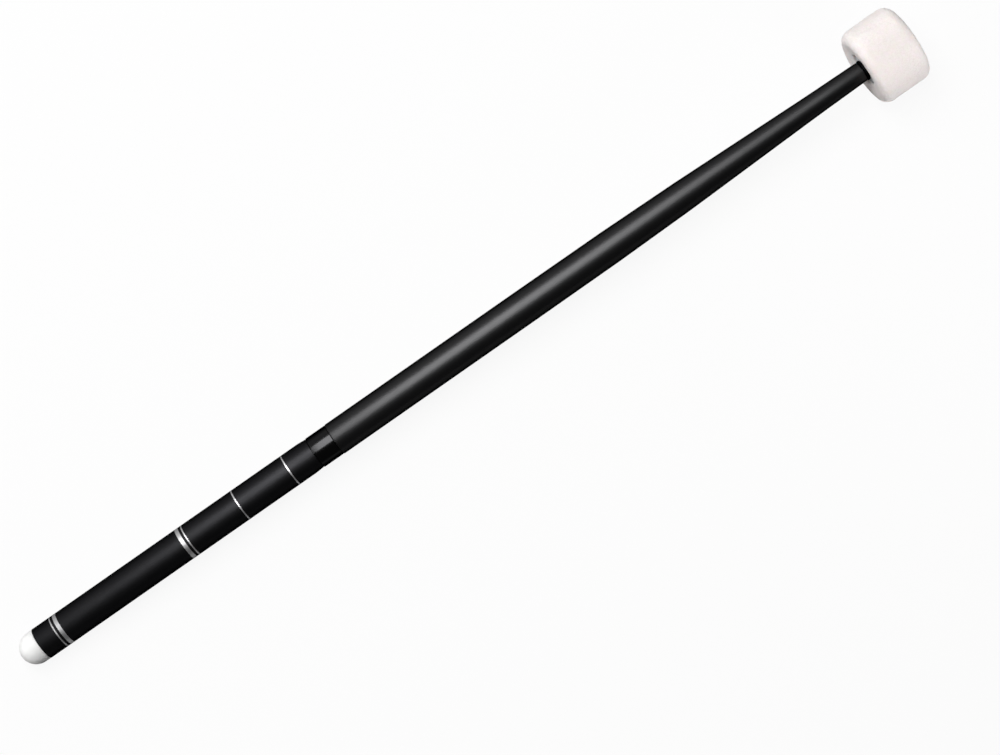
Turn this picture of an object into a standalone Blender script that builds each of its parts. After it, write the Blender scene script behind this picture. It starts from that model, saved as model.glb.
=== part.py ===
"""Felt mallet: a tubular stick with a tapered cover and a screw-on felt head.

The mallet lies along X, with its felt head at +X and its domed end cap at -X. The origin is the middle
of its length, on its axis. Places along the mallet are stations: distances from the end cap's tip.
Every piece is turned about the mallet's axis, from an outline of (station, radius, rounding) corners.
"""

import math

import bpy
from mathutils import Matrix, Vector

MM = 0.001

# Clearance between neighbouring pieces, and the facets of a turned piece
GAP = 0.3 * MM
WIDE_FACETS = 48
SLIM_FACETS = 40
FINE_FACETS = 32
EDGE_STEPS = 3
SOFT_STEPS = 6
SOFT_RADIUS = 2.0 * MM
POLE_MERGE = 0.001 * MM
SHARP_ANGLE = math.radians(35)

# Handle tube, rolled in a little where it meets the joint ring
HANDLE_LENGTH = 133.9 * MM
HANDLE_DIAMETER = 13.9 * MM
HANDLE_WALL = 0.9 * MM
NECK_DEPTH = 0.25 * MM
NECK_LENGTH = 0.6 * MM
NECK_SLOPE = 3.4 * MM

# End cap: a dome a little slimmer than the handle, a short straight band, and a barbed stem
CAP_INSET = 0.1 * MM
CAP_BAND = 2.25 * MM
DOME_STEPS = 9
STEM_LENGTH = 12.0 * MM
STEM_BARBS = 3
BARB_HEIGHT = 0.65 * MM
BARB_RAMP = 1.3 * MM
BARB_LAND = 0.9 * MM

# Soft rod inside the handle
DAMPER_LENGTH = 60.0 * MM
DAMPER_SETBACK = 4.0 * MM

# Joint bush: the ring that shows, and a spigot inside the handle
RING_LENGTH = 9.05 * MM
RING_INSET = 0.05 * MM
SPIGOT_LENGTH = 14.0 * MM

# Cover: a straight barrel, a slight draw down to the shoulder, the taper and the slim nose
COVER_LENGTH = 258.65 * MM
COVER_PROUD = 0.1 * MM
COVER_WALL = 2.0 * MM
BARREL_TO_FRONT = 166.6 * MM
SHOULDER_TO_FRONT = 105.6 * MM
SHOULDER_DRAW = 0.13 * MM
NOSE_LENGTH = 23.6 * MM
NOSE_DRAW = 0.395 * MM
FRONT_WALL = 0.85 * MM
SHOULDER_BLEND = 700.0 * MM
NOSE_BLEND = 1400.0 * MM

# Core tube under the cover, tapped at its front end
CORE_WALL = 1.0 * MM
CORE_FRONT_WALL = 0.775 * MM
CORE_SETBACK = 0.4 * MM
TAPPED_RUNOUT = 3.0 * MM

# Threaded stud that the head screws on with
STUD_DIAMETER = 4.0 * MM
STUD_CHAMFER = 0.4 * MM
STUD_ENGAGEMENT = 11.5 * MM
STUD_IN_HUB = 12.2 * MM

# Washer between the cover and the head
WASHER_PROUD = 0.225 * MM
WASHER_THICKNESS = 1.6 * MM

# Hub inside the felt
BOSS_INSET = 0.35 * MM
BOSS_LENGTH = 2.1 * MM
FLANGE_THICKNESS = 2.0 * MM
HUB_CORE_DIAMETER = 9.4 * MM
HUB_CORE_LENGTH = 10.1 * MM

# Felt head
FELT_DIAMETER = 33.6 * MM
FELT_LENGTH = 21.9 * MM
FELT_CORNER = 3.8 * MM
RECESS_DIAMETER = 14.0 * MM
RECESS_DEPTH = 5.5 * MM
RECESS_CORNER = 0.7 * MM

# Small roundings of hard edges
TUBE_EDGE = 0.2 * MM
RING_EDGE = 0.15 * MM
COVER_EDGE = 0.35 * MM
WASHER_EDGE = 0.3 * MM
PLASTIC_EDGE = 0.4 * MM

# Radii of what lines up with the handle or fits into another piece
HANDLE_RADIUS = HANDLE_DIAMETER / 2
HANDLE_BORE = HANDLE_RADIUS - HANDLE_WALL
PLUG_RADIUS = HANDLE_BORE - GAP
DOME_RADIUS = HANDLE_RADIUS - CAP_INSET
RING_RADIUS = HANDLE_RADIUS - RING_INSET
BARREL_RADIUS = HANDLE_RADIUS + COVER_PROUD
SHOULDER_RADIUS = BARREL_RADIUS - SHOULDER_DRAW
CORE_RADIUS = BARREL_RADIUS - COVER_WALL - GAP
STUD_RADIUS = STUD_DIAMETER / 2
STUD_HOLE = STUD_RADIUS + GAP
FRONT_RADIUS = STUD_HOLE + CORE_FRONT_WALL + GAP + FRONT_WALL
NOSE_RADIUS = FRONT_RADIUS + NOSE_DRAW
WASHER_RADIUS = FRONT_RADIUS + WASHER_PROUD
BOSS_RADIUS = WASHER_RADIUS - BOSS_INSET
HUB_CORE_RADIUS = HUB_CORE_DIAMETER / 2
RECESS_RADIUS = RECESS_DIAMETER / 2
FLANGE_RADIUS = RECESS_RADIUS - GAP

# Stations, each counted from the piece before it
CAP_RIM = DOME_RADIUS + CAP_BAND
STEM_FRONT = CAP_RIM + STEM_LENGTH
DAMPER_REAR = STEM_FRONT + DAMPER_SETBACK
DAMPER_FRONT = DAMPER_REAR + DAMPER_LENGTH
HANDLE_REAR = CAP_RIM + GAP
HANDLE_FRONT = HANDLE_REAR + HANDLE_LENGTH
RING_REAR = HANDLE_FRONT + GAP
RING_FRONT = RING_REAR + RING_LENGTH
SPIGOT_REAR = RING_REAR - SPIGOT_LENGTH
COVER_REAR = RING_FRONT + GAP
COVER_FRONT = COVER_REAR + COVER_LENGTH
BARREL_FRONT = COVER_FRONT - BARREL_TO_FRONT
SHOULDER = COVER_FRONT - SHOULDER_TO_FRONT
NOSE_REAR = COVER_FRONT - NOSE_LENGTH
CORE_FRONT = COVER_FRONT - CORE_SETBACK
WASHER_REAR = COVER_FRONT + GAP
WASHER_FRONT = WASHER_REAR + WASHER_THICKNESS
HUB_REAR = WASHER_FRONT + GAP
FLANGE_REAR = HUB_REAR + BOSS_LENGTH
FLANGE_FRONT = FLANGE_REAR + FLANGE_THICKNESS
HUB_FRONT = FLANGE_FRONT + HUB_CORE_LENGTH
STUD_REAR = CORE_FRONT - STUD_ENGAGEMENT
STUD_FRONT = HUB_REAR + STUD_IN_HUB
TAPPED_REAR = STUD_REAR - TAPPED_RUNOUT
RECESS_FLOOR = FLANGE_FRONT + GAP
FELT_REAR = RECESS_FLOOR - RECESS_DEPTH
FELT_FRONT = FELT_REAR + FELT_LENGTH

# The cover's outer line as (station, radius), from its front to its rear
COVER_LINE = (
    (COVER_FRONT, FRONT_RADIUS),
    (NOSE_REAR, NOSE_RADIUS),
    (SHOULDER, SHOULDER_RADIUS),
    (BARREL_FRONT, BARREL_RADIUS),
    (COVER_REAR, BARREL_RADIUS),
)


def clear_scene():
    for piece in list(bpy.data.objects):
        bpy.data.objects.remove(piece, do_unlink=True)


def new_collection(name):
    collection = bpy.data.collections.new(name)
    bpy.context.scene.collection.children.link(collection)
    return collection


def finish(name, colour, roughness, metallic=0.0):
    """A plain material with a linear RGB colour."""
    material = bpy.data.materials.new(name)
    material.use_nodes = True
    shader = material.node_tree.nodes["Principled BSDF"]
    shader.inputs["Base Color"].default_value = (*colour, 1.0)
    shader.inputs["Roughness"].default_value = roughness
    shader.inputs["Metallic"].default_value = metallic
    return material


def axis_empty(name, station, parent=None):
    """An empty on the mallet's axis, whose own Z runs forwards along that axis."""
    empty = bpy.data.objects.new(name, None)
    empty.empty_display_size = 10 * MM
    empty["station"] = station
    mallet.objects.link(empty)
    if parent is None:
        empty.rotation_euler.y = math.pi / 2
        empty.location.x = station - FELT_FRONT / 2
    else:
        empty.parent = parent
        empty.location.z = station - parent["station"]
    return empty


def rounded_corner(before, corner, after, radius):
    """Points of the arc that rounds off a corner between its two neighbours."""
    to_before = (before - corner).normalized()
    to_after = (after - corner).normalized()
    half_angle = to_before.angle(to_after) / 2
    centre = corner + (to_before + to_after).normalized() * radius / math.sin(half_angle)
    tangent = radius / math.tan(half_angle)
    first = corner + to_before * tangent - centre
    final = corner + to_after * tangent - centre
    sweep = first.angle_signed(final)
    steps = SOFT_STEPS if radius >= SOFT_RADIUS else EDGE_STEPS
    return [
        centre + Matrix.Rotation(-sweep * step / steps, 2) @ first
        for step in range(steps + 1)
    ]


def outline(corners):
    """Outline points as (radius, station) vectors. A corner is (station, radius) or has a rounding too."""
    places = [Vector((corner[1], corner[0])) for corner in corners]
    points = []
    for i, corner in enumerate(corners):
        if len(corner) == 2:
            points.append(places[i])
        else:
            neighbour = places[(i + 1) % len(places)]
            points += rounded_corner(places[i - 1], places[i], neighbour, corner[2])
    return points


def turned(name, points, facets, material, parent, bored=False):
    """A solid of revolution. Its points run down the outer side, front to rear, and back up any bore.

    A bored piece is a ring, so its last point joins its first. Any other begins and ends on the axis.
    The piece's own origin is on the axis, at its rearmost station.
    """
    rear = min(point.y for point in points)
    edges = [(i, i + 1) for i in range(len(points) - 1)]
    if bored:
        edges.append((len(points) - 1, 0))
    profile = bpy.data.meshes.new(name + " profile")
    profile.from_pydata([(point.x, 0.0, point.y - rear) for point in points], edges, [])
    piece = bpy.data.objects.new(name, profile)
    piece.parent = parent
    piece.location.z = rear - parent["station"]
    mallet.objects.link(piece)
    screw = piece.modifiers.new("turned", "SCREW")
    screw.axis = "Z"
    screw.angle = math.tau
    screw.steps = facets
    screw.render_steps = facets
    screw.use_merge_vertices = True
    screw.merge_threshold = POLE_MERGE
    evaluated = piece.evaluated_get(bpy.context.evaluated_depsgraph_get())
    piece.data = bpy.data.meshes.new_from_object(evaluated)
    piece.data.name = name
    piece.modifiers.clear()
    bpy.data.meshes.remove(profile)
    piece.data.shade_smooth()
    piece.data.set_sharp_from_angle(angle=SHARP_ANGLE)
    piece.data.materials.append(material)
    return piece


def cover_radius(station):
    """Outer radius of the cover's straight line work at a station."""
    for (front, front_radius), (rear, rear_radius) in zip(COVER_LINE, COVER_LINE[1:]):
        if station >= rear:
            share = (station - rear) / (front - rear)
            return rear_radius + share * (front_radius - rear_radius)
    return BARREL_RADIUS


def cover_bore(station):
    """Bore radius of the cover at a station: the wall thins from the shoulder to the front."""
    share = max(0.0, (station - SHOULDER) / SHOULDER_TO_FRONT)
    return cover_radius(station) - COVER_WALL - share * (FRONT_WALL - COVER_WALL)


def end_cap():
    """White plug with a domed end, held in the handle by its barbed stem."""
    stem_core = PLUG_RADIUS - BARB_HEIGHT
    corners = [(STEM_FRONT, 0.0)]
    for barb in range(STEM_BARBS):
        top = STEM_FRONT - barb * STEM_LENGTH / STEM_BARBS
        heel = top - BARB_RAMP - BARB_LAND
        corners += [
            (top, stem_core),
            (top - BARB_RAMP, PLUG_RADIUS),
            (heel, PLUG_RADIUS),
            (heel, stem_core),
        ]
    corners += [(CAP_RIM, stem_core), (CAP_RIM, DOME_RADIUS)]
    points = outline(corners)
    for step in range(DOME_STEPS + 1):
        angle = math.pi / 2 * (1 - step / DOME_STEPS)
        points.append(Vector((math.sin(angle), 1 - math.cos(angle))) * DOME_RADIUS)
    material = finish("white cap", (0.80, 0.80, 0.79), 0.38)
    return turned("end_cap", points, SLIM_FACETS, material, cap_axis)


def damper_rod():
    """Soft rod inside the handle, which deadens the tube's ring."""
    corners = [
        (DAMPER_FRONT, 0.0),
        (DAMPER_FRONT, PLUG_RADIUS, PLASTIC_EDGE),
        (DAMPER_REAR, PLUG_RADIUS, PLASTIC_EDGE),
        (DAMPER_REAR, 0.0),
    ]
    material = finish("grey foam rubber", (0.09, 0.09, 0.095), 0.9)
    return turned("damper_rod", outline(corners), FINE_FACETS, material, mallet_axis)


def handle_tube():
    """Black handle tube, with its front end rolled in."""
    neck = HANDLE_RADIUS - NECK_DEPTH
    corners = [
        (HANDLE_FRONT, neck, TUBE_EDGE),
        (HANDLE_FRONT - NECK_LENGTH, neck),
        (HANDLE_FRONT - NECK_LENGTH - NECK_SLOPE, HANDLE_RADIUS),
        (HANDLE_REAR, HANDLE_RADIUS, TUBE_EDGE),
        (HANDLE_REAR, HANDLE_BORE),
        (HANDLE_FRONT, HANDLE_BORE),
    ]
    material = finish("satin black anodising", (0.012, 0.012, 0.013), 0.36, 0.4)
    return turned("handle_tube", outline(corners), SLIM_FACETS, material, mallet_axis, bored=True)


def joint_bush():
    """Gloss ring between handle and cover, with the spigot that carries the core tube."""
    bore = CORE_RADIUS + GAP
    corners = [
        (RING_FRONT, RING_RADIUS, RING_EDGE),
        (RING_REAR, RING_RADIUS, RING_EDGE),
        (RING_REAR, PLUG_RADIUS),
        (SPIGOT_REAR, PLUG_RADIUS, RING_EDGE),
        (SPIGOT_REAR, bore),
        (RING_FRONT, bore),
    ]
    material = finish("gloss black ring", (0.010, 0.010, 0.011), 0.12)
    return turned("joint_bush", outline(corners), SLIM_FACETS, material, mallet_axis, bored=True)


def core_tube():
    """Aluminium tube under the cover. It tapers with the cover's bore, down to its tapped front end."""
    outer = [(s, cover_bore(s) - GAP) for s in (CORE_FRONT, NOSE_REAR, SHOULDER, BARREL_FRONT)]
    shoulder_bore = cover_bore(SHOULDER) - GAP - CORE_WALL
    corners = outer + [
        (SPIGOT_REAR, CORE_RADIUS),
        (SPIGOT_REAR, CORE_RADIUS - CORE_WALL),
        (BARREL_FRONT, CORE_RADIUS - CORE_WALL),
        (SHOULDER, shoulder_bore),
        (TAPPED_REAR, STUD_HOLE),
        (CORE_FRONT, STUD_HOLE),
    ]
    material = finish("bare aluminium", (0.62, 0.63, 0.64), 0.35, 1.0)
    return turned("core_tube", outline(corners), SLIM_FACETS, material, mallet_axis, bored=True)


def cover_sleeve():
    """Long matt black cover over the core tube, with a soft shoulder into the taper."""
    roundings = (COVER_EDGE, NOSE_BLEND, SHOULDER_BLEND, SHOULDER_BLEND, COVER_EDGE)
    corners = [(*corner, rounding) for corner, rounding in zip(COVER_LINE, roundings)]
    corners += [(s, cover_bore(s)) for s in (COVER_REAR, BARREL_FRONT, SHOULDER, NOSE_REAR, COVER_FRONT)]
    material = finish("matt black cover", (0.016, 0.016, 0.017), 0.55)
    return turned("cover_sleeve", outline(corners), SLIM_FACETS, material, mallet_axis, bored=True)


def front_washer():
    """Dark washer that the head presses against the cover's front end."""
    corners = [
        (WASHER_FRONT, WASHER_RADIUS, WASHER_EDGE),
        (WASHER_REAR, WASHER_RADIUS, WASHER_EDGE),
        (WASHER_REAR, STUD_HOLE),
        (WASHER_FRONT, STUD_HOLE),
    ]
    material = finish("black nylon", (0.008, 0.008, 0.009), 0.45)
    return turned("front_washer", outline(corners), FINE_FACETS, material, washer_axis, bored=True)


def head_stud():
    """Steel stud, plain at its thread's outer diameter, with a chamfer at each end."""
    corners = [
        (STUD_FRONT, 0.0),
        (STUD_FRONT, STUD_RADIUS - STUD_CHAMFER),
        (STUD_FRONT - STUD_CHAMFER, STUD_RADIUS),
        (STUD_REAR + STUD_CHAMFER, STUD_RADIUS),
        (STUD_REAR, STUD_RADIUS - STUD_CHAMFER),
        (STUD_REAR, 0.0),
    ]
    material = finish("zinc plated steel", (0.55, 0.55, 0.57), 0.3, 1.0)
    return turned("head_stud", outline(corners), FINE_FACETS, material, head_axis)


def head_hub():
    """Hard hub in the middle of the felt, with a blind hole that holds the stud."""
    corners = [
        (HUB_FRONT, 0.0),
        (HUB_FRONT, HUB_CORE_RADIUS, PLASTIC_EDGE),
        (FLANGE_FRONT, HUB_CORE_RADIUS),
        (FLANGE_FRONT, FLANGE_RADIUS, PLASTIC_EDGE),
        (FLANGE_REAR, FLANGE_RADIUS, PLASTIC_EDGE),
        (FLANGE_REAR, BOSS_RADIUS),
        (HUB_REAR, BOSS_RADIUS, PLASTIC_EDGE),
        (HUB_REAR, STUD_HOLE),
        (STUD_FRONT + GAP, STUD_HOLE),
        (STUD_FRONT + GAP, 0.0),
    ]
    material = finish("grey nylon", (0.30, 0.29, 0.28), 0.5)
    return turned("head_hub", outline(corners), FINE_FACETS, material, head_axis)


def felt_head():
    """Thick felt cylinder with rounded rims. Its rear face is recessed round the stick's end."""
    outer = FELT_DIAMETER / 2
    hub_seat = HUB_CORE_RADIUS + GAP
    corners = [
        (FELT_FRONT, 0.0),
        (FELT_FRONT, outer, FELT_CORNER),
        (FELT_REAR, outer, FELT_CORNER),
        (FELT_REAR, RECESS_RADIUS, RECESS_CORNER),
        (RECESS_FLOOR, RECESS_RADIUS),
        (RECESS_FLOOR, hub_seat),
        (HUB_FRONT + GAP, hub_seat),
        (HUB_FRONT + GAP, 0.0),
    ]
    material = finish("white felt", (0.86, 0.82, 0.79), 0.95)
    return turned("felt_head", outline(corners), WIDE_FACETS, material, head_axis)


clear_scene()
mallet = new_collection("felt_mallet")
mallet_axis = axis_empty("mallet_axis", 0.0)
cap_axis = axis_empty("cap_axis", CAP_RIM, mallet_axis)
washer_axis = axis_empty("washer_axis", WASHER_REAR, mallet_axis)
head_axis = axis_empty("head_axis", HUB_REAR, washer_axis)
end_cap()
damper_rod()
handle_tube()
joint_bush()
core_tube()
cover_sleeve()
front_washer()
head_stud()
head_hub()
felt_head()
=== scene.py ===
# %% [markdown]
# # A felt mallet
# This lesson dresses a measured frame of a drum mallet with finely modelled pieces and finishes.
# The frame holds the plain solids of the ten parts, each in its place, in metres, along the X axis.
# Every piece below is modelled with Blender's own tools at its real size and place, and then stands for
# its solid. The butt with its white cap is at the low end of X, and the felt head at the high end.

import math

import bmesh
import bpy
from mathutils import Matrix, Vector


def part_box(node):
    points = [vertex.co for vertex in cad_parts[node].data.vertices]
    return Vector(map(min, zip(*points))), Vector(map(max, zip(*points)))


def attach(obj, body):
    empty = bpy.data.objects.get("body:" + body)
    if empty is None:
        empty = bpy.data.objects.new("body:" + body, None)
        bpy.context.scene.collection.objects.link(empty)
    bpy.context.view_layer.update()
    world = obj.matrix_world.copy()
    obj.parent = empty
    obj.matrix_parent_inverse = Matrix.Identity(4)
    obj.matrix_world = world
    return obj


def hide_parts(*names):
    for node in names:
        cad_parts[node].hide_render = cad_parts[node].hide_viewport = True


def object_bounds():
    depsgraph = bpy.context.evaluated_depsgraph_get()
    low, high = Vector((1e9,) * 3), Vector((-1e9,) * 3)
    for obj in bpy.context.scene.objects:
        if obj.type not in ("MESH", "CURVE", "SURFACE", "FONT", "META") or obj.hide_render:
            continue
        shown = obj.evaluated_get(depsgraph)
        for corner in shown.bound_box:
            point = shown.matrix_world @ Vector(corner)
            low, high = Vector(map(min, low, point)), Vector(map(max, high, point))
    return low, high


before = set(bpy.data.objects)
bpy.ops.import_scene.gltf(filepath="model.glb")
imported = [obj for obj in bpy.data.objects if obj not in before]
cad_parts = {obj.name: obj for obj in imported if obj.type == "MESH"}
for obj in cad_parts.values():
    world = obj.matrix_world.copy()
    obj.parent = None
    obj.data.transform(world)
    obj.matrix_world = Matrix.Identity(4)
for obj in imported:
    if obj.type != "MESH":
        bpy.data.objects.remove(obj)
cad_low, cad_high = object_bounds()

# %% [markdown]
# ## Measuring along the stick
# A turner marks a stick off from one end, so every place here is a station: millimetres from the tip
# of the cap. One small helper turns such a mark into Blender's metres, and another reads the marks of a
# solid's two ends. The other way is to type world coordinates, but then nobody can compare them with a
# ruler laid along the mallet.

# %% Stations
MM = 0.001


def station(mark):
    """World X of a mark in millimetres from the cap's tip."""
    return cad_low.x + mark * MM


def marks(solid):
    """A frame solid's first and last station."""
    low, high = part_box(solid)
    return [round((end.x - cad_low.x) / MM, 3) for end in (low, high)]


print("length in mm:", round((cad_high.x - cad_low.x) / MM, 1))
for solid in sorted(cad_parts):
    print(solid, marks(solid))

# %% [markdown]
# ## Selecting by place
# With no mouse, a selection is made by a question about each vertex: is it on this ring, or outside
# this radius? Everything is deselected before a new primitive, because an operator acts on all that
# is selected, and loading the frame leaves its solids selected. Once a new primitive is in place, that
# place is moved into its mesh, since every finished piece has its object at the origin.

# %% Selection helpers
CLOSE = 0.02


def deselect():
    """Leaves edit mode and deselects every object."""
    if bpy.context.object and bpy.context.object.mode != "OBJECT":
        bpy.ops.object.mode_set(mode="OBJECT")
    bpy.ops.object.select_all(action="DESELECT")


def open_mesh():
    """Moves the new primitive's place into its mesh and opens it for editing."""
    bpy.ops.object.transform_apply(location=True, rotation=True, scale=True)
    bpy.ops.object.mode_set(mode="EDIT")


def pick_all():
    """In edit mode, selects the whole mesh."""
    bpy.ops.mesh.select_all(action="SELECT")


def pick(test):
    """In edit mode, selects the vertices whose (mark, radius) in millimetres pass the test."""
    mesh = bpy.context.object.data
    bm = bmesh.from_edit_mesh(mesh)
    for vert in bm.verts:
        mark = (vert.co.x - cad_low.x) / MM
        radius = math.hypot(vert.co.y, vert.co.z) / MM
        vert.select_set(test(mark, radius))
    bm.select_flush_mode()
    bmesh.update_edit_mesh(mesh)


def at_mark(place, inner=0.0, outer=math.inf, near=CLOSE):
    """Selects the vertices at one station, between two radii."""
    pick(lambda mark, radius: abs(mark - place) < near and inner < radius < outer)


def resize_at(mark, scale):
    """Makes the selection wider or narrower about the mallet's axis."""
    bpy.ops.transform.resize(value=(1, scale, scale), center_override=(station(mark), 0, 0))


# %% [markdown]
# ## Finishing a piece
# Two things end the work on every piece. Doubles are merged and the faces turned outwards, because a
# spun or bisected shell can come out inside out. Then faces that meet gently are shaded smooth, while
# real edges stay crisp. The helper prints how many faces there are, whether the skin is closed and how
# much it holds. A second helper applies a modifier at once, so that the mesh itself has the shape.

# %% Finish helpers
SMOOTH_UP_TO = math.radians(32)
SAME_PLACE = 0.002 * MM


def finish_piece(name, smooth=SMOOTH_UP_TO):
    """Ends edit mode, cleans the mesh of the active piece and names it."""
    piece = bpy.context.object
    if piece.mode != "EDIT":
        bpy.ops.object.mode_set(mode="EDIT")
    pick_all()
    bpy.ops.mesh.remove_doubles(threshold=SAME_PLACE)
    bpy.ops.mesh.normals_make_consistent(inside=False)
    bpy.ops.object.mode_set(mode="OBJECT")
    piece.name = piece.data.name = name
    bpy.ops.object.shade_smooth_by_angle(angle=smooth)
    bm = bmesh.new()
    bm.from_mesh(piece.data)
    open_edges = sum(not edge.is_manifold for edge in bm.edges)
    print(name, len(piece.data.polygons), "faces,", open_edges, "open edges,", end=" ")
    print(round(bm.calc_volume() / MM**3, 1), "cubic mm")
    bm.free()
    return piece


def apply_modifier(name, kind, **settings):
    """Adds a modifier to the active piece, sets it and applies it."""
    modifier = bpy.context.object.modifiers.new(name, kind)
    for setting, value in settings.items():
        setattr(modifier, setting, value)
    bpy.ops.object.modifier_apply(modifier=modifier.name)


# %% [markdown]
# ## The end cap
# The cap is a moulded plug: a white dome flush with the handle, and a barbed stem that grips its bore.
# A dome could be spun from an arc, but a sphere cut in half gives the same skin at once. The cut edge
# is then pulled along the stick and resized, ring after ring, for the band, the underside and the barbs.
# The frame's solids keep small gaps, so that none touches another. On the real mallet the cap sits hard
# on the tube, so its band is drawn a little longer than the solid's.

# %% Pull rings
def pull_rings(rings):
    """Extrudes the selected ring through a list of (station, radius) and leaves the last one selected."""
    bm = bmesh.from_edit_mesh(bpy.context.object.data)
    start = next(vert.co for vert in bm.verts if vert.select)
    place, radius = start.x, math.hypot(start.y, start.z)
    for mark, size in rings:
        shift = station(mark) - place
        bpy.ops.mesh.extrude_region_move(TRANSFORM_OT_translate={"value": (shift, 0, 0)})
        resize_at(mark, size * MM / radius)
        place, radius = station(mark), size * MM


# %% [markdown]
# Three barbs make the stem grip the tube. Each is the same four rings again, so a loop lists them, and
# only the last ring is swapped for the stem's rounded end. The rings could be listed by hand, but then
# a new pitch would mean a dozen edits.

# %% End cap
AROUND = 128
DOME = 6.85
CAP_BAND = 9.35
CAP_EDGE, EDGE_MIDDLE = 0.2, 0.06
STEM, STEM_TIP = 5.1, 1.0
STEM_STEP, STEM_EDGE, STEM_CHAMFER = 0.05, 0.2, 0.15
BARBS, BARB_PITCH, FIRST_BARB = 3, 4, 1.8
BARB, BARB_CREST, BARB_LENGTH = 5.75, 0.9, 2.2

deselect()
bpy.ops.mesh.primitive_uv_sphere_add(
    segments=AROUND, ring_count=AROUND // 2, radius=DOME * MM,
    location=(station(DOME), 0, 0), rotation=(0, math.pi / 2, 0),
)
open_mesh()
pick(lambda mark, radius: mark > DOME + CLOSE)
bpy.ops.mesh.delete(type="VERT")
at_mark(DOME)
rim = marks("end_cap")[0] + CAP_BAND
rings = [
    (rim - CAP_EDGE, DOME), (rim - EDGE_MIDDLE, DOME - EDGE_MIDDLE), (rim, DOME - CAP_EDGE), (rim, STEM),
]
for barb in range(BARBS):
    heel = rim + FIRST_BARB + BARB_PITCH * barb
    stem_end = heel + BARB_LENGTH
    rings += [(heel, STEM), (heel + STEM_STEP, BARB), (heel + BARB_CREST, BARB), (stem_end, STEM)]
rings[-1:] = [
    (stem_end - STEM_CHAMFER, STEM + STEM_STEP), (stem_end, STEM - STEM_EDGE), (stem_end, STEM_TIP),
]
pull_rings(rings)
bpy.ops.mesh.merge(type="CENTER")
cap = finish_piece("cap")

# %% [markdown]
# ## The handle tube
# The grip is a thin tube of anodised aluminium, rolled in a quarter of a millimetre just before the
# ring. An open cylinder is cut across where the roll begins and ends, the front rings are drawn in,
# and a Solidify modifier gives the sheet its wall. Solidify leaves the inner rings of the neck slightly
# off their cuts and too narrow, so they are found near each cut, inside a radius in the middle of the
# wall, and set to the bore. The two rims are bevelled last, because Solidify makes them. The tube's
# hollow back end shows as soon as the cap is pulled.

# %% Handle tube
HANDLE_RADIUS = 6.95
HANDLE_BORE = 6.05
NECK_START, NECK_RADIUS = 6.86, 6.7
NECK_CUTS = (4.0, 2.4, 0.6)
MID_WALL = 6.4
WALL_SHIFT = 0.2
TUBE_EDGE = 0.2
handle_rear, handle_front = marks("handle_tube")
neck = [handle_front - back for back in NECK_CUTS]

deselect()
bpy.ops.mesh.primitive_cylinder_add(
    vertices=AROUND, radius=HANDLE_RADIUS * MM, depth=(handle_front - handle_rear) * MM,
    end_fill_type="NOTHING", location=(station((handle_rear + handle_front) / 2), 0, 0),
    rotation=(0, math.pi / 2, 0),
)
open_mesh()
for mark in neck:
    pick_all()
    bpy.ops.mesh.bisect(plane_co=(station(mark), 0, 0), plane_no=(1, 0, 0))
narrowed = (*neck[1:], handle_front)
for mark, radius in zip(narrowed, (NECK_START, NECK_RADIUS, NECK_RADIUS)):
    at_mark(mark)
    resize_at(mark, radius / HANDLE_RADIUS)
bpy.ops.object.mode_set(mode="OBJECT")
apply_modifier("wall", "SOLIDIFY", thickness=(HANDLE_RADIUS - HANDLE_BORE) * MM, offset=-1)
bpy.ops.object.mode_set(mode="EDIT")
for mark in narrowed:
    at_mark(mark, outer=MID_WALL, near=WALL_SHIFT)
    bm = bmesh.from_edit_mesh(bpy.context.object.data)
    chosen = next(vert.co for vert in bm.verts if vert.select)
    resize_at(mark, HANDLE_BORE * MM / math.hypot(chosen.y, chosen.z))
for mark in (handle_rear, handle_front):
    at_mark(mark, inner=MID_WALL)
    bpy.ops.mesh.bevel(offset=TUBE_EDGE * MM, segments=3, affect="EDGES")
handle = finish_piece("handle")

# %% [markdown]
# ## A lathe for the small turned parts
# The ring, cover, core, washer, hub and felt are all round about one axis. Half of each outline is
# drawn as a chain of vertices, extruded from corner to corner, and each corner is rounded with a
# vertex bevel. Spin then sweeps the chain once round the axis, just as a lathe would cut the part.
# Stacked cylinders would give the same sizes but none of the rounded edges that catch the light.

# %% Lathe helpers
ROUNDING_STEPS = 6


def outline(corners):
    """Draws a chain through (station, radius) or (station, radius, rounding) corners, in millimetres."""
    deselect()
    first = corners[0]
    start = (station(first[0]), 0, first[1] * MM)
    bpy.ops.mesh.primitive_plane_add(size=MM, location=start)
    open_mesh()
    bpy.ops.mesh.merge(type="CENTER")
    for here, there in zip(corners, corners[1:]):
        step = ((there[0] - here[0]) * MM, 0, (there[1] - here[1]) * MM)
        bpy.ops.mesh.extrude_vertices_move(TRANSFORM_OT_translate={"value": step})
    pick_all()
    bpy.ops.mesh.remove_doubles(threshold=SAME_PLACE)
    for mark, radius, rounding in [corner for corner in corners if len(corner) == 3]:
        at_mark(mark, inner=radius - CLOSE, outer=radius + CLOSE)
        bpy.ops.mesh.bevel(offset=rounding * MM, segments=ROUNDING_STEPS, affect="VERTICES")


def spin_round(steps=AROUND):
    """Sweeps the whole outline once round the mallet's axis."""
    pick_all()
    bpy.ops.mesh.spin(steps=steps, angle=math.tau, center=(0, 0, 0), axis=(1, 0, 0))


def turned(name, corners):
    """Turns a piece. An outline that doesn't begin on the axis is closed, and gives a ring."""
    on_axis = corners[0][1] == 0
    outline(corners if on_axis else corners + corners[:1])
    spin_round()
    return finish_piece(name)


# %% [markdown]
# ## The joint ring
# A short gloss ring parts the handle from the cover. It is one turning with the spigot that reaches
# back inside the handle and carries the core tube. Its outer edges are rounded by only 0.15 mm, so the
# strip of light on it ends sharply at both sides. It closes most of the gap that the solids keep in
# front of it, because on the real stick the cover is pushed up against the ring.

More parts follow.
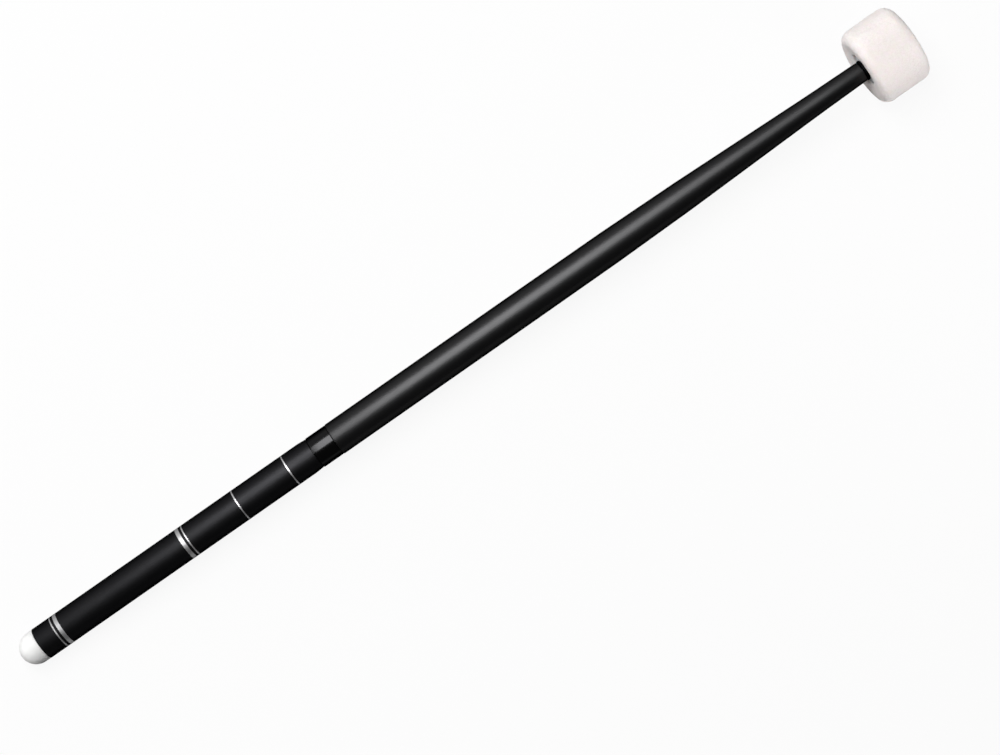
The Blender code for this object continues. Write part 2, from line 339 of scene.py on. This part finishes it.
# %% Joint ring
RING, SPIGOT, BORE = 6.9, 5.75, 5.05
RING_LENGTH = 9.35
CLOSED_GAP = 0.2
spigot_rear, solid_front = marks("joint_bush")
ring_front = solid_front + CLOSED_GAP
ring_rear = ring_front - RING_LENGTH
joint_ring = turned("joint_ring", [
    (ring_front, RING, 0.15), (ring_rear, RING, 0.15), (ring_rear, SPIGOT),
    (spigot_rear, SPIGOT, 0.3), (spigot_rear, BORE), (ring_front, BORE),
])

# %% [markdown]
# ## The cover
# The long black part is a moulded polyurethane cover over a metal core. Its outer line runs straight,
# eases over a shoulder into the taper, and eases again before the nose. Those two eases are very wide
# vertex bevels, which leave no visible corner, where a chain of straight cones would.

# %% Cover
BARREL_END, SHOULDER, NOSE = 245.0, 306.0, 388.0
BARREL = 7.05
COVER_EDGE = 0.35
cover_rear, cover_front = marks("cover_sleeve")
cover_outside = [
    (cover_front, 4.225, COVER_EDGE), (NOSE, 4.62, 4.0), (SHOULDER, 6.92, 18.0),
    (BARREL_END, BARREL, 1.5), (cover_rear, BARREL, COVER_EDGE),
]
cover_inside = [
    (cover_rear, BORE), (BARREL_END, BORE), (SHOULDER, 4.92), (NOSE, 3.513), (cover_front, 3.375),
]
cover = turned("cover", cover_outside + cover_inside)

# %% [markdown]
# ## The core tube
# Under the cover runs a drawn aluminium tube that tapers with it. Its front end is solid but for the
# tapped hole that takes the head's stud. Only that end ever shows, when the head is unscrewed.

# %% Core tube
CORE, CORE_BORE = 4.75, 3.75
STUD_HOLE, HOLE_DEPTH = 2.3, 14.5
core_rear, core_front = marks("core_tube")
core_outside = [
    (core_front, 3.08, 0.2), (NOSE, 3.213), (SHOULDER, 4.62), (BARREL_END, CORE), (core_rear, CORE, 0.2),
]
core_inside = [
    (core_rear, CORE_BORE), (BARREL_END, CORE_BORE), (SHOULDER, 3.62),
    (core_front - HOLE_DEPTH, STUD_HOLE), (core_front, STUD_HOLE),
]
core = turned("core", core_outside + core_inside)

# %% [markdown]
# ## The front washer
# The head is screwed down on a thin black nylon washer, which shows as a dark rim at the front end of
# the shaft. It stands 0.2 mm proud of the cover's nose and has softly rounded edges. Its front is set
# back half a millimetre from the solid's, where the photograph shows the black end of the shaft.

# %% Front washer
WASHER = 4.45
WASHER_BACK = 0.5
washer_rear, washer_front = marks("front_washer")
washer_front -= WASHER_BACK
washer = turned("washer", [
    (washer_front, WASHER, 0.3), (washer_rear, WASHER, 0.3),
    (washer_rear, STUD_HOLE, 0.15), (washer_front, STUD_HOLE, 0.15),
])

# %% [markdown]
# ## The head stud
# The head is held by a threaded steel stud. A thread is one small zigzag of a single pitch, carried
# round and forwards at the same time, which is what the Screw modifier does. The ends of the helix are
# ragged, so both are cut square with Bisect and the holes filled. Then the last turn at each end is
# drawn in a little, as the lead-in of a real screw.

# %% Head stud
PITCH = 0.7
CREST, ROOT = 1.99, 1.58
ZIGZAG = ((0, ROOT), (0.27, CREST), (0.36, CREST), (0.62, ROOT), (PITCH, ROOT))
STEPS_A_TURN = 40
SPARE_TURNS = 3
SAME_THREAD = 0.004 * MM
LEAD_IN = ((0.15, 0.90), (0.3, 0.95), (0.45, 0.97))
stud_rear, stud_front = marks("head_stud")
turns = math.ceil((stud_front - stud_rear) / PITCH) + SPARE_TURNS
begin = stud_rear - SPARE_TURNS / 2 * PITCH
outline([(begin + along, radius) for along, radius in ZIGZAG])
bpy.ops.object.mode_set(mode="OBJECT")
apply_modifier(
    "thread", "SCREW", axis="X", screw_offset=PITCH * MM, angle=math.tau, iterations=turns,
    steps=STEPS_A_TURN, render_steps=STEPS_A_TURN, use_merge_vertices=True, merge_threshold=SAME_THREAD,
)
bpy.ops.object.mode_set(mode="EDIT")
pick_all()
bpy.ops.mesh.remove_doubles(threshold=SAME_THREAD)
for end, outward in ((stud_rear, -1), (stud_front, 1)):
    pick_all()
    bpy.ops.mesh.bisect(plane_co=(station(end), 0, 0), plane_no=(outward, 0, 0), clear_outer=True)
pick_all()
bpy.ops.mesh.fill_holes(sides=0)
for end in (stud_rear, stud_front):
    for depth, scale in LEAD_IN:
        at_mark(end, near=depth)
        resize_at(end, scale)
stud = finish_piece("stud", smooth=math.radians(25))

# %% [markdown]
# ## The hub
# A light grey nylon hub sits in the middle of the felt and grips the stud. Its flange fills the felt's
# recess and ends almost flush with the inner face, so from the shaft's side it shows as a pale disc
# with a thin dark gap round it. A flange on the recess's floor would leave a deep empty hole there.

# %% Hub
FLANGE, HUB_CORE = 6.62, 4.7
HUB_FORWARD, FLANGE_END, END_WALL = 0.6, 4.1, 1.7
hub_rear, hub_front = marks("head_hub")
hub_face = hub_rear - HUB_FORWARD
flange_end = hub_rear + FLANGE_END
hole_end = hub_front - END_WALL
hub = turned("hub", [
    (hub_front, 0), (hub_front, HUB_CORE, 0.3), (flange_end, HUB_CORE, 0.2), (flange_end, FLANGE, 0.3),
    (hub_face, FLANGE, 0.3), (hub_face, STUD_HOLE, 0.15), (hole_end, STUD_HOLE), (hole_end, 0),
])

# %% [markdown]
# ## The damper
# A soft foam rod fills part of the handle and deadens its ring. It hides in the tube, but it is part
# of how the mallet is built. Foam has no crisp edges, so the turned rod is cut into short lengths and
# a Displace modifier moves its skin by a few hundredths of a millimetre.

# %% Damper
DAMPER, DAMPER_EDGE = 5.68, 0.8
DAMPER_CUTS, DAMPER_STEPS = 60, 64
damper_rear, damper_front = marks("damper_rod")
outline([
    (damper_front, 0), (damper_front, DAMPER, DAMPER_EDGE),
    (damper_rear, DAMPER, DAMPER_EDGE), (damper_rear, 0),
])
pick(lambda mark, radius: radius > DAMPER - DAMPER_EDGE / 10)
bpy.ops.mesh.subdivide(number_cuts=DAMPER_CUTS)
spin_round(DAMPER_STEPS)
damper = finish_piece("damper", smooth=math.pi)


def lumps(name, size, depth):
    """Moves the active piece's skin in and out by clouds of a size, to a depth, both in millimetres."""
    clouds = bpy.data.textures.new(name, "CLOUDS")
    clouds.noise_scale = size * MM
    clouds.noise_depth = 2
    apply_modifier(
        name, "DISPLACE", texture=clouds, texture_coords="LOCAL", strength=depth * MM, mid_level=0.5,
    )


def widest(piece):
    """A piece's greatest height above the axis, in millimetres."""
    return round(max(vert.co.z for vert in piece.data.vertices) / MM, 2)


lumps("foam skin", size=2.5, depth=0.1)
print("damper radius in mm:", widest(damper))

# %% [markdown]
# ## The felt head
# The head is a block of hard pressed wool felt, cut to a thick disc with rounded rims, with a round
# recess where the shaft's end goes in. It isn't stuffed, so no cloth is simulated. The turned block is
# remeshed to even small faces, subdivided, and then pushed about by three sizes of clouds: the broad
# unevenness of a pressed block, the lumps of its wool, and the nap of single fibres on the skin. The
# inner face is drawn in by about a millimetre towards its middle, as the photograph shows, since
# pressing leaves it so. Its outline there is also 0.4 mm nearer to the butt than the solid's.

# %% Felt head
FELT, RECESS, SEAT = 16.8, 7.0, 5.0
FACE_BACK, DRAWN_IN = 0.4, 1.2
RECESS_DEPTH, SEAT_DEPTH = 5.5, 15.6
FRONT_RIM, REAR_RIM, RECESS_RIM = 3.9, 4.8, 0.9
FELT_VOXEL = 0.5
felt_rear, felt_front = marks("felt_head")
felt_face = felt_rear - FACE_BACK
recess_floor = felt_rear + RECESS_DEPTH
seat_end = felt_rear + SEAT_DEPTH
felt = turned("felt", [
    (felt_front, 0), (felt_front, FELT, FRONT_RIM), (felt_face - DRAWN_IN, FELT, REAR_RIM),
    (felt_face, RECESS, RECESS_RIM), (recess_floor, RECESS, 0.3), (recess_floor, SEAT, 0.2),
    (seat_end, SEAT), (seat_end, 0),
])
felt.data.remesh_voxel_size = FELT_VOXEL * MM
felt.data.use_remesh_preserve_volume = True
bpy.ops.object.voxel_remesh()
apply_modifier("even out", "SMOOTH", factor=0.5, iterations=3)
apply_modifier("finer", "SUBSURF", levels=1, render_levels=1)
lumps("pressed block", size=7.0, depth=0.35)
lumps("wool lumps", size=1.6, depth=0.16)
lumps("nap", size=0.5, depth=0.10)
bpy.ops.object.shade_smooth()
print("felt", len(felt.data.polygons), "faces, radius in mm:", widest(felt))

# %% [markdown]
# ## Nodes in few lines
# A material is a small network. One helper adds a node, sets its values and links what it reads, and
# the others are the few patterns that every finish is made of. They could be wired by hand for each
# finish, but then ten networks would say the same thing. All patterns read Object coordinates in
# metres, so a grain of 0.3 mm needs a scale of a few thousand.

# %% Node helpers
USUAL_NOISE = (0.3, 0.7)
COLOUR_A, COLOUR_B, COLOUR_RESULT = 6, 7, 2


def new_finish(name):
    """Makes a material, and gives its shader too."""
    material = bpy.data.materials.new(name)
    material.use_nodes = True
    print("finish:", name)
    return material, material.node_tree.nodes["Principled BSDF"]


def plug(owner, made, *inputs):
    """Sets or links a node's sockets. A colour is three numbers here, and its alpha is always one."""
    for socket, value in inputs:
        target = made.inputs[socket]
        if isinstance(value, bpy.types.NodeSocket):
            owner.node_tree.links.new(value, target)
        elif target.type == "RGBA":
            target.default_value = (*value, 1)
        else:
            target.default_value = value


def node(owner, kind, inputs=(), **settings):
    """Adds a node to a material or a world. Each input is (socket, value or linked socket)."""
    made = owner.node_tree.nodes.new("ShaderNode" + kind)
    for setting, value in settings.items():
        setattr(made, setting, value)
    plug(owner, made, *inputs)
    return made


def calculate(owner, operation, *values):
    """The result of a Math node."""
    return node(owner, "Math", enumerate(values), operation=operation).outputs[0]


def grey(level):
    """A colour with no hue."""
    return (level, level, level)


def grain(material, size, stretch=(1, 1, 1), detail=3.0):
    """Noise with features of a size in millimetres, drawn out along the axes by a stretch."""
    place = node(material, "TexCoord").outputs["Object"]
    drawn_out = node(material, "Mapping", [("Vector", place), ("Scale", [1 / s for s in stretch])])
    noise = node(material, "TexNoise", [
        ("Vector", drawn_out.outputs["Vector"]), ("Scale", 1 / (size * MM)), ("Detail", detail),
    ])
    return noise.outputs["Fac"]


def ramp(owner, value, low, high, out_low, out_high):
    """Maps a value from one range to another, and keeps it inside."""
    spread = node(owner, "MapRange", [
        ("Value", value), ("From Min", low), ("From Max", high), ("To Min", out_low), ("To Max", out_high),
    ])
    return spread.outputs["Result"]


def vary(material, pattern, low, high):
    """Lets a noise move a value between two limits."""
    return ramp(material, pattern, *USUAL_NOISE, low, high)


def blend(material, share, first, second):
    """Mixes two colours by a share."""
    sockets = [("Factor", share), (COLOUR_A, first), (COLOUR_B, second)]
    return node(material, "Mix", sockets, data_type="RGBA").outputs[COLOUR_RESULT]


def relief(material, height, depth):
    """Bump of a height pattern, with its depth in millimetres."""
    made = node(material, "Bump", [("Height", height), ("Distance", depth * MM), ("Strength", 1.0)])
    return made.outputs["Normal"]


# %% [markdown]
# ## White cap plastic
# The cap is satin moulded plastic, nearly white. Its colour drifts very slightly, as handled plastic
# does, and its roughness varies, so that the highlight isn't perfectly even. The highlight is kept
# weak, because it would bleach the lit side to a flat white spot.

# %% White cap plastic
cap_white, shader = new_finish("white satin plastic")
cap_colour = blend(cap_white, grain(cap_white, 3.0), (0.93, 0.93, 0.92), (0.90, 0.90, 0.89))
plug(cap_white, shader,
     ("Base Color", cap_colour),
     ("Roughness", vary(cap_white, grain(cap_white, 0.8), 0.42, 0.54)),
     ("Specular IOR Level", 0.2),
     ("IOR", 1.5),
     ("Subsurface Weight", 0.6),
     ("Subsurface Radius", (1.0, 1.0, 1.0)),
     ("Subsurface Scale", 2.5 * MM),
     ("Normal", relief(cap_white, grain(cap_white, 0.12), 0.004)))

# %% [markdown]
# ## Anodised handle with printed rings
# The handle is satin black with plain silver rings printed round it. The rings are a mask over the
# distance along the stick, with a slightly ragged edge, as ink has. Modelled rings would stand up from
# the tube, and ink doesn't. All the black finishes are set as metals of a very dark colour with a dark
# edge tint. A dielectric black would mirror the pale table more and more towards the stick's outline,
# and the photograph's stick stays black there.

# %% Anodised handle
BLACK_METAL = (("Metallic", 1.0), ("Specular Tint", grey(0.0)))
RING_PRINTS = ((18.0, 0.55), (20.2, 1.6), (80.2, 1.6), (82.4, 0.55), (107.0, 0.55), (131.4, 0.55))
RAGGED = 0.04
INK_HEIGHT = 0.6

handle_black, shader = new_finish("satin black anodising")
place = node(handle_black, "TexCoord").outputs["Object"]
along = node(handle_black, "SeparateXYZ", [("Vector", place)]).outputs["X"]
ragged = vary(handle_black, grain(handle_black, 0.25), -RAGGED * MM, RAGGED * MM)
along = calculate(handle_black, "ADD", along, ragged)
ink = 0.0
for mark, width in RING_PRINTS:
    inside = calculate(handle_black, "COMPARE", along, station(mark), width / 2 * MM)
    ink = calculate(handle_black, "MAXIMUM", ink, inside)
drawn = grain(handle_black, 0.18, stretch=(40, 1, 1))
rubbed = grain(handle_black, 6.0)
anodised = blend(handle_black, rubbed, (0.022, 0.022, 0.0235), (0.027, 0.027, 0.029))
silver = blend(handle_black, grain(handle_black, 0.4), (0.62, 0.62, 0.63), (0.76, 0.76, 0.77))
height = calculate(handle_black, "ADD", ramp(handle_black, ink, 0, 1, 0, INK_HEIGHT), drawn)
plug(handle_black, shader,
     ("Base Color", blend(handle_black, ink, anodised, silver)),
     *BLACK_METAL,
     ("Roughness", vary(handle_black, drawn, 0.40, 0.50)),
     ("Normal", relief(handle_black, height, 0.004)))

# %% [markdown]
# ## Gloss ring
# The ring is the one shiny part, so it mirrors the lamp as a narrow strip. Fine scratches run round
# it, since it was polished while it turned.

# %% Gloss ring
ring_gloss, shader = new_finish("gloss black lacquer")
polish = grain(ring_gloss, 0.08, stretch=(1, 30, 30))
lacquer = blend(ring_gloss, grain(ring_gloss, 2.0), (0.026, 0.026, 0.027), (0.030, 0.030, 0.031))
plug(ring_gloss, shader,
     ("Base Color", lacquer),
     ("Metallic", 1.0),
     ("Specular Tint", grey(0.05)),
     ("Roughness", vary(ring_gloss, polish, 0.14, 0.22)),
     ("Normal", relief(ring_gloss, polish, 0.001)))

# %% [markdown]
# ## Matt cover
# The cover is moulded polyurethane with a dull, very fine grain. It shows a broader and paler
# highlight than the handle does, because its skin scatters more light.

# %% Matt cover
cover_matt, shader = new_finish("matt polyurethane")
skin = grain(cover_matt, 0.22)
scuffs = grain(cover_matt, 0.5, stretch=(14, 1, 1))
rubber = blend(cover_matt, grain(cover_matt, 5.0), (0.041, 0.041, 0.042), (0.049, 0.049, 0.050))
plug(cover_matt, shader,
     ("Base Color", rubber),
     *BLACK_METAL,
     ("Roughness", vary(cover_matt, skin, 0.34, 0.43)),
     ("Normal", relief(cover_matt, calculate(cover_matt, "ADD", skin, scuffs), 0.006)))

# %% [markdown]
# ## Hard inner parts
# The washer is black nylon, the hub light grey nylon, the stud zinc plated steel and the core drawn
# aluminium. Plastics differ in colour and in how even their skin is, and metals in the direction of
# their marks: along a drawn tube, and round a rolled thread.

# %% Washer, hub, stud and core
washer_nylon, shader = new_finish("black nylon")
moulded = grain(washer_nylon, 0.3)
plug(washer_nylon, shader,
     ("Base Color", blend(washer_nylon, moulded, grey(0.006), (0.010, 0.010, 0.011))),
     *BLACK_METAL,
     ("Roughness", vary(washer_nylon, moulded, 0.42, 0.55)),
     ("Normal", relief(washer_nylon, moulded, 0.006)))

hub_nylon, shader = new_finish("light grey nylon")
moulded = grain(hub_nylon, 0.35)
plug(hub_nylon, shader,
     ("Base Color", blend(hub_nylon, grain(hub_nylon, 1.6), (0.70, 0.71, 0.73), (0.64, 0.65, 0.67))),
     ("Roughness", vary(hub_nylon, moulded, 0.45, 0.6)),
     ("Normal", relief(hub_nylon, moulded, 0.008)))

stud_steel, shader = new_finish("zinc plated steel")
rolled = grain(stud_steel, 0.12, stretch=(1, 12, 12))
plug(stud_steel, shader,
     ("Base Color", blend(stud_steel, grain(stud_steel, 1.2), (0.60, 0.60, 0.62), (0.47, 0.475, 0.50))),
     ("Metallic", 1.0),
     ("Roughness", vary(stud_steel, rolled, 0.24, 0.42)),
     ("Normal", relief(stud_steel, rolled, 0.004)))

core_aluminium, shader = new_finish("drawn aluminium")
drawn = grain(core_aluminium, 0.1, stretch=(60, 1, 1))
plug(core_aluminium, shader,
     ("Base Color", blend(core_aluminium, drawn, (0.66, 0.67, 0.68), (0.57, 0.58, 0.59))),
     ("Metallic", 1.0),
     ("Roughness", vary(core_aluminium, drawn, 0.28, 0.45)),
     ("Normal", relief(core_aluminium, drawn, 0.004)))

# %% [markdown]
# ## Damper foam
# Foam rubber is a froth of small round cells. Voronoi distance deepens each cell's middle and paints it
# darker, as painted shade in the pore, where a plain noise would look like stone.

# %% Damper foam
FOAM_CELL = 0.5

damper_foam, shader = new_finish("grey foam rubber")
place = node(damper_foam, "TexCoord").outputs["Object"]
cells = node(damper_foam, "TexVoronoi", [("Vector", place), ("Scale", 1 / (FOAM_CELL * MM))])
depth = cells.outputs["Distance"]
plug(damper_foam, shader,
     # The darker colour at each cell's middle is painted shade in the pore.
     ("Base Color", blend(damper_foam, depth, (0.05, 0.05, 0.052), (0.13, 0.13, 0.135))),
     ("Roughness", 0.95),
     ("Normal", relief(damper_foam, depth, 0.12)))

# %% [markdown]
# ## Wool felt
# Felt is a mat of crossed fibres. Two noises, each drawn out in its own direction, give the crossing
# lines, and the low gaps between them are painted darker, as painted shade in the nap. A coarser one
# gives the faint pinkish and creamy patches of pressed wool. The sheen is the soft light of the nap at
# its rims, and it is the same everywhere, so it is set on the shader.

# %% Wool felt
PINKISH, CREAMY, SHADE_BETWEEN_FIBRES = (0.98, 0.88, 0.885), (0.945, 0.895, 0.845), (0.895, 0.79, 0.77)
FIBRE = 0.14

felt_white, shader = new_finish("pressed wool felt")
patches = ramp(felt_white, grain(felt_white, 2.2, detail=4.0), 0.38, 0.62, 0, 1)
clumps = grain(felt_white, 0.9, detail=4.0)
fibres_one = grain(felt_white, FIBRE, stretch=(6, 1, 2))
fibres_two = grain(felt_white, FIBRE, stretch=(1, 3, 5))
crossed = calculate(felt_white, "MAXIMUM", fibres_one, fibres_two)
wool = blend(felt_white, patches, PINKISH, CREAMY)
height = calculate(felt_white, "ADD", crossed, clumps)
plug(felt_white, shader,
     # Where the crossed fibres are low, the colour turns to the painted shade between them.
     ("Base Color", blend(felt_white, ramp(felt_white, crossed, 0.40, 0.62, 1, 0), wool, SHADE_BETWEEN_FIBRES)),
     ("Roughness", vary(felt_white, clumps, 0.85, 1.0)),
     ("Normal", relief(felt_white, height, 0.17)),
     ("Specular IOR Level", 0.15),
     ("Subsurface Weight", 0.7),
     ("Subsurface Radius", (1.0, 0.9, 0.85)),
     ("Subsurface Scale", 2.4 * MM),
     ("Sheen Weight", 0.25),
     ("Sheen Roughness", 0.6),
     ("Sheen Tint", (1.0, 0.96, 0.94)))

# %% [markdown]
# ## Putting the pieces on the frame
# Each piece stands for one solid of the frame and moves with that solid's body: the head turns and
# travels off its thread, the washer travels with it, the cap pulls out, and all else is the shaft.

# %% Pieces on their bodies
PIECES = (
    (cap, "cap", "end_cap", "cap_plastic", cap_white),
    (handle, "shaft", "handle_tube", "handle_black", handle_black),
    (joint_ring, "shaft", "joint_bush", "ring_gloss", ring_gloss),
    (cover, "shaft", "cover_sleeve", "cover_matt", cover_matt),
    (core, "shaft", "core_tube", "core_aluminium", core_aluminium),
    (damper, "shaft", "damper_rod", "damper_foam", damper_foam),
    (washer, "washer", "front_washer", "washer_nylon", washer_nylon),
    (stud, "head", "head_stud", "stud_steel", stud_steel),
    (hub, "head", "head_hub", "hub_nylon", hub_nylon),
    (felt, "head", "felt_head", "felt_white", felt_white),
)
for piece, body, solid, slot, material in PIECES:
    piece.data.materials.clear()
    piece.data.materials.append(material)
    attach(piece, body)
    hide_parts(solid)

# %% [markdown]
# ## The table
# The mallet lies on a pale table and touches it with the rim of its felt and with its butt, so seen
# from the mallet the table slopes by about one degree. Seen by the camera it is white, which comes
# from a share of plain white in its material, and the rest is a surface that takes the shadow. Mirrors
# see a small share of that white too. For the light that it throws back on the mallet it is greyer
# than it looks, since a table that is really this bright would light the mallet's dark lower side.

# %% Table
NAP = 0.15
BUTT_CONTACT = 3
TABLE_SIDE = 6.0

contact_front = Vector((station((felt_rear + felt_front) / 2), 0, -(FELT + NAP) * MM))
contact_rear = Vector((station(handle_rear + BUTT_CONTACT), 0, -HANDLE_RADIUS * MM))
slope = math.atan2(contact_rear.z - contact_front.z, contact_front.x - contact_rear.x)
middle = (contact_front + contact_rear) / 2
deselect()
bpy.ops.mesh.primitive_plane_add(size=TABLE_SIDE, location=middle, rotation=(0, slope, 0))
table = bpy.context.object
table.name = "table"
print("table slopes by", round(math.degrees(slope), 2), "degrees")

# %% [markdown]
# ## The table's look
# A Light Path node tells what kind of ray asks. Rays from the camera, straight or through something
# clear, get the share of plain white, mirrored rays a small part of it, and all others none. A table
# of plain light alone would be simpler, but it would show no shadow.

# %% Table's look
WHITE_SHARE = 0.91
MIRROR_SHARE = 0.12
PAPER, PAPER_SPOTS, SEEN_BY_MALLET = grey(0.81), grey(0.84), grey(0.27)


def who_looks(owner, mirror_share):
    """Gives two shares: one for camera rays alone, and one with a small part for mirrored rays."""
    rays = node(owner, "LightPath").outputs
    straight = calculate(owner, "ADD", rays["Is Camera Ray"], rays["Is Transmission Ray"])
    return straight, calculate(owner, "MULTIPLY_ADD", rays["Is Glossy Ray"], mirror_share, straight)


table_white, shader = new_finish("pale table")
straight, seen = who_looks(table_white, MIRROR_SHARE)
paper = blend(table_white, grain(table_white, 0.6), PAPER, PAPER_SPOTS)
plug(table_white, shader,
     ("Base Color", blend(table_white, straight, SEEN_BY_MALLET, paper)),
     ("Roughness", 0.9),
     ("Specular IOR Level", 0.1))
share = calculate(table_white, "MULTIPLY", seen, WHITE_SHARE)
white = node(table_white, "Emission", [("Color", grey(1.0)), ("Strength", 1.0)]).outputs[0]
both = node(table_white, "MixShader", [(0, share), (1, shader.outputs[0]), (2, white)]).outputs[0]
plug(table_white, table_white.node_tree.nodes["Material Output"], ("Surface", both))
table.data.materials.append(table_white)

# %% [markdown]
# ## Lamps
# One large softbox hangs over the stick, towards its upper left, so its reflection runs along the upper
# left of every round part. A second one stands low beyond the butt and lights what faces that way: the
# cap's tip and the felt's inner face, on which a narrow spot helps it. A small lamp with a grid
# brightens only the felt's lower right. The spot and the small lamp are hidden from mirrors, so that
# no second streak shows on the stick.

# %% Lamps
KEY_LEAN = math.radians(22.5)
OPEN = 180
# Each lamp: its place and what it is aimed at, its two sides in metres, its watts, the angle to which
# its grid narrows the light, and whether mirrors show it.
LAMPS = {
    "key softbox": ((0, math.sin(KEY_LEAN), math.cos(KEY_LEAN)), (0, 0, 0), (0.5, 0.82), 9.7, OPEN, True),
    "side softbox": ((-0.9, 0.25, 0.22), (0, 0, 0), (0.4, 0.4), 2.15, OPEN, True),
    "gridded fill": ((0.37, -0.46, 0.07), (0.207, 0, 0), (0.2, 0.2), 0.124, 40, False),
    "narrow spot": ((-0.55, 0.12, 0.12), (0.205, 0, 0), (0.05, 0.05), 0.003, 16, False),
}
for name, (place, aim, sides, watts, grid, in_mirrors) in LAMPS.items():
    lamp = bpy.data.lights.new(name, "AREA")
    lamp.shape = "RECTANGLE"
    lamp.size, lamp.size_y = sides
    lamp.energy = watts
    lamp.spread = math.radians(grid)
    holder = bpy.data.objects.new(name, lamp)
    holder.location = place
    holder.rotation_euler = (Vector(aim) - Vector(place)).to_track_quat("-Z", "Y").to_euler()
    holder.visible_camera = False
    holder.visible_glossy = in_mirrors
    bpy.context.scene.collection.objects.link(holder)
    print(name, watts, "W")

# %% [markdown]
# ## The room
# The room is half bright on the softbox's side and nearly dark on the other, which keeps the lower side
# of the black stick black, but the camera sees it white. Its brightness follows the direction that a
# ray goes in, where one even grey would either dull the felt's lit side or wash out the stick's dark one.

# %% Room
ROOM_MIRROR_SHARE = 0.05
ROOM_DARK, ROOM_BRIGHT = 0.02, 0.50
DARK_UP_TO = -0.2

world = bpy.data.worlds.new("studio")
bpy.context.scene.world = world
world.use_nodes = True
towards = node(world, "TexCoord").outputs["Generated"]
side = node(world, "SeparateXYZ", [("Vector", towards)]).outputs["Y"]
wall = ramp(world, side, DARK_UP_TO, 1.0, ROOM_DARK, ROOM_BRIGHT)
_, seen = who_looks(world, ROOM_MIRROR_SHARE)
strength = node(world, "Mix", [("Factor", seen), ("A", wall), ("B", 1.0)]).outputs[0]
plug(world, world.node_tree.nodes["Background"], ("Color", grey(1.0)), ("Strength", strength))
print("room from", ROOM_DARK, "to", ROOM_BRIGHT)

# %% [markdown]
# ## Camera
# The camera looks straight down from a metre, turned so that the mallet rises to the right. A long
# lens from that distance keeps the stick's sides nearly parallel, but still sees a little of the
# felt's inner face, which a camera without perspective would hide.

# %% Camera
PHOTO_WIDTH = 1000
METRES_PER_PIXEL = 0.0004023
LENS = 90.0
SENSOR = 36.0
OVER = (0.00455, -0.01772)
TURN = math.radians(-34.9)

camera_data = bpy.data.cameras.new("camera")
camera_data.sensor_width = SENSOR
camera_data.lens = LENS
distance = LENS / SENSOR * PHOTO_WIDTH * METRES_PER_PIXEL
camera = bpy.data.objects.new("camera", camera_data)
camera.location = (*OVER, distance)
camera.rotation_euler = (0, 0, TURN)
bpy.context.scene.collection.objects.link(camera)
bpy.context.scene.camera = camera
bpy.context.scene.view_settings.view_transform = "Standard"
print("camera height in m:", round(distance, 3))

# %% [markdown]
# The dressed mallet has to be as large as the frame says. The frame's box is printed.

# %% Write the sizes
print("frame box ", [round(v / MM, 2) for v in (*cad_low, *cad_high)])
